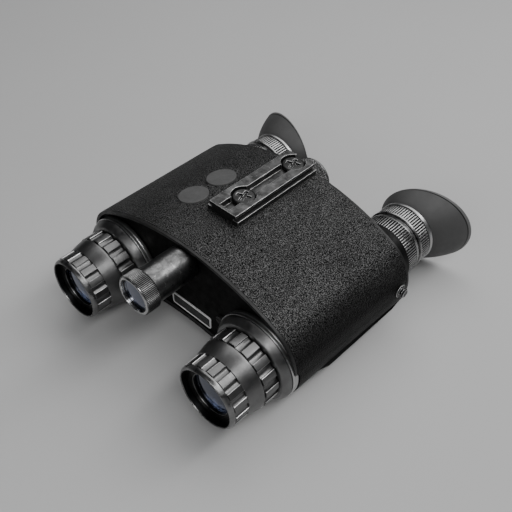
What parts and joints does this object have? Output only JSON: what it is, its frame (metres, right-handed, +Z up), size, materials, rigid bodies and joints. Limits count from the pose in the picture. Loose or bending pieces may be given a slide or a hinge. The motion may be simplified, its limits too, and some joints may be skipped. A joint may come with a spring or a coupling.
{
  "type": "night-vision binoculars",
  "caption": "Compact head-held night-vision binoculars with ribbed focus rings, lamp, top rail, buttons and flared rubber eyecups.",
  "frame": {"origin": "bottom centre of the bounding box, on the surface the binoculars stand on", "axes": "+Y runs from the objectives to the eyecups, +Z up, +X the wearer's left"},
  "size_m": [0.1038, 0.1176, 0.0475],
  "materials": {
    "cover_black": "satin black moulded shell",
    "leatherette": "pebbled black leatherette",
    "bottom_grey": "satin dark grey moulding",
    "plate_black": "flat black paint",
    "chassis_metal": "plain milled",
    "badge_grey": "plain blank plate with a dark border",
    "screw_steel": "turned",
    "rail_metal": "worn black oxide, bright edges",
    "ring_metal": "satin dark anodised",
    "trim_bright": "bright turned edge",
    "collar_metal": "semi-gloss dark anodised",
    "lamp_metal": "worn satin grey",
    "eye_metal": "bright knurled",
    "lens_glass": "coated, blue reflection",
    "rubber_black": "soft matt",
    "button_grey": "flat grey membrane",
    "tube_case": "potted case",
    "phosphor": "green screen",
    "board_green": "circuit board with black parts",
    "cell_label": "plain wrapped cell",
    "spring_steel": "drawn wire",
    "led_clear": "clear diode"
  },
  "bodies": {
    "housing": {"upper_cover": "cover_black", "leatherette_wrap": "leatherette", "bottom_cover": "bottom_grey", "front_plate": "plate_black", "rear_plate": "plate_black", "chassis": "chassis_metal", "badge": "badge_grey", "bottom_screws": "screw_steel", "plate_screws": "screw_steel", "strap_studs": "screw_steel", "mounting_rail": "rail_metal", "rail_screws": "screw_steel", "rail_backing_bar": "chassis_metal", "dome_switches": "plate_black", "button_board": "board_green", "control_board": "board_green", "battery_tube": "chassis_metal", "battery_cell": "cell_label", "battery_spring": "spring_steel", "lamp_barrel": "lamp_metal", "lamp_led": "led_clear", "collar_left": "collar_metal", "trim_ring_left": "trim_bright", "intensifier_case_left": "tube_case", "phosphor_screen_left": "phosphor", "eyepiece_housing_left": "collar_metal", "eyecup_seat_left": "trim_bright", "collar_right": "collar_metal", "trim_ring_right": "trim_bright", "intensifier_case_right": "tube_case", "phosphor_screen_right": "phosphor", "eyepiece_housing_right": "collar_metal", "eyecup_seat_right": "trim_bright"},
    "focus_ring_body_left": {"focus_ring_left": "ring_metal"},
    "objective_left": {"objective_cell_left": "collar_metal", "front_lens_left": "lens_glass", "rear_lens_left": "lens_glass"},
    "dioptre_body_left": {"dioptre_ring_left": "eye_metal"},
    "eyepiece_left": {"eyepiece_cell_left": "collar_metal", "field_lens_left": "lens_glass", "eye_lens_left": "lens_glass"},
    "lock_ring_body_left": {"eyecup_lock_ring_left": "eye_metal"},
    "eyecup_body_left": {"eyecup_left": "rubber_black"},
    "focus_ring_body_right": {"focus_ring_right": "ring_metal"},
    "objective_right": {"objective_cell_right": "collar_metal", "front_lens_right": "lens_glass", "rear_lens_right": "lens_glass"},
    "dioptre_body_right": {"dioptre_ring_right": "eye_metal"},
    "eyepiece_right": {"eyepiece_cell_right": "collar_metal", "field_lens_right": "lens_glass", "eye_lens_right": "lens_glass"},
    "lock_ring_body_right": {"eyecup_lock_ring_right": "eye_metal"},
    "eyecup_body_right": {"eyecup_right": "rubber_black"},
    "lamp_ring_body": {"lamp_focus_ring": "lamp_metal"},
    "lamp_cell_body": {"lamp_lens_cell": "collar_metal", "lamp_lens": "lens_glass"},
    "battery_cap_body": {"battery_cap": "ring_metal"},
    "front_button_body": {"front_button": "button_grey"},
    "rear_button_body": {"rear_button": "button_grey"}
  },
  "joints": [
    {"name": "focus_left", "type": "hinge", "parent": "housing", "child": "focus_ring_body_left", "pos_m": [0.0325, -0.04893, 0.0172], "axis": [0, -1, 0], "range_deg": [0, 270]},
    {"name": "objective_slide_left", "type": "slide", "parent": "housing", "child": "objective_left", "axis": [0, -1, 0], "range_m": [0, 0.002]},
    {"name": "dioptre_left", "type": "hinge", "parent": "housing", "child": "dioptre_body_left", "pos_m": [0.0325, 0.03308, 0.0172], "axis": [0, -1, 0], "range_deg": [-60, 60]},
    {"name": "eyepiece_slide_left", "type": "slide", "parent": "housing", "child": "eyepiece_left", "axis": [0, 1, 0], "range_m": [-0.001, 0.001]},
    {"name": "lock_ring_left", "type": "hinge", "parent": "housing", "child": "lock_ring_body_left", "pos_m": [0.0325, 0.04007, 0.0172], "axis": [0, -1, 0], "range_deg": [0, 60]},
    {"name": "eyecup_turn_left", "type": "hinge", "parent": "housing", "child": "eyecup_body_left", "pos_m": [0.0325, 0.04707, 0.0172], "axis": [0, -1, 0], "range_deg": [-25, 25]},
    {"name": "focus_right", "type": "hinge", "parent": "housing", "child": "focus_ring_body_right", "pos_m": [-0.0325, -0.04893, 0.0172], "axis": [0, -1, 0], "range_deg": [0, 270]},
    {"name": "objective_slide_right", "type": "slide", "parent": "housing", "child": "objective_right", "axis": [0, -1, 0], "range_m": [0, 0.002]},
    {"name": "dioptre_right", "type": "hinge", "parent": "housing", "child": "dioptre_body_right", "pos_m": [-0.0325, 0.03308, 0.0172], "axis": [0, -1, 0], "range_deg": [-60, 60]},
    {"name": "eyepiece_slide_right", "type": "slide", "parent": "housing", "child": "eyepiece_right", "axis": [0, 1, 0], "range_m": [-0.001, 0.001]},
    {"name": "lock_ring_right", "type": "hinge", "parent": "housing", "child": "lock_ring_body_right", "pos_m": [-0.0325, 0.04007, 0.0172], "axis": [0, -1, 0], "range_deg": [0, 60]},
    {"name": "eyecup_turn_right", "type": "hinge", "parent": "housing", "child": "eyecup_body_right", "pos_m": [-0.0325, 0.04707, 0.0172], "axis": [0, -1, 0], "range_deg": [-25, 25]},
    {"name": "lamp_focus", "type": "hinge", "parent": "housing", "child": "lamp_ring_body", "pos_m": [0, -0.05393, 0.0361], "axis": [0, -1, 0], "range_deg": [0, 270]},
    {"name": "lamp_lens_slide", "type": "slide", "parent": "housing", "child": "lamp_cell_body", "axis": [0, -1, 0], "range_m": [0, 0.00078]},
    {"name": "battery_cap_turn", "type": "hinge", "parent": "housing", "child": "battery_cap_body", "pos_m": [0, 0.02508, 0.0347], "axis": [0, -1, 0], "range_deg": [0, 90]},
    {"name": "front_button_press", "type": "slide", "parent": "housing", "child": "front_button_body", "axis": [0.187, 0, -0.9824], "range_m": [0, 0.0008], "stiffness_N_per_m": 1500},
    {"name": "rear_button_press", "type": "slide", "parent": "housing", "child": "rear_button_body", "axis": [0.187, 0, -0.9824], "range_m": [0, 0.0008], "stiffness_N_per_m": 1500}
  ],
  "couplings": [
    {"joint": "focus_left", "follows": "objective_slide_left", "rad_per_m": 2356.1},
    {"joint": "dioptre_left", "follows": "eyepiece_slide_left", "rad_per_m": 1047.1},
    {"joint": "focus_right", "follows": "objective_slide_right", "rad_per_m": 2356.1},
    {"joint": "dioptre_right", "follows": "eyepiece_slide_right", "rad_per_m": 1047.1},
    {"joint": "lamp_focus", "follows": "lamp_lens_slide", "rad_per_m": 6041.5}
  ]
}
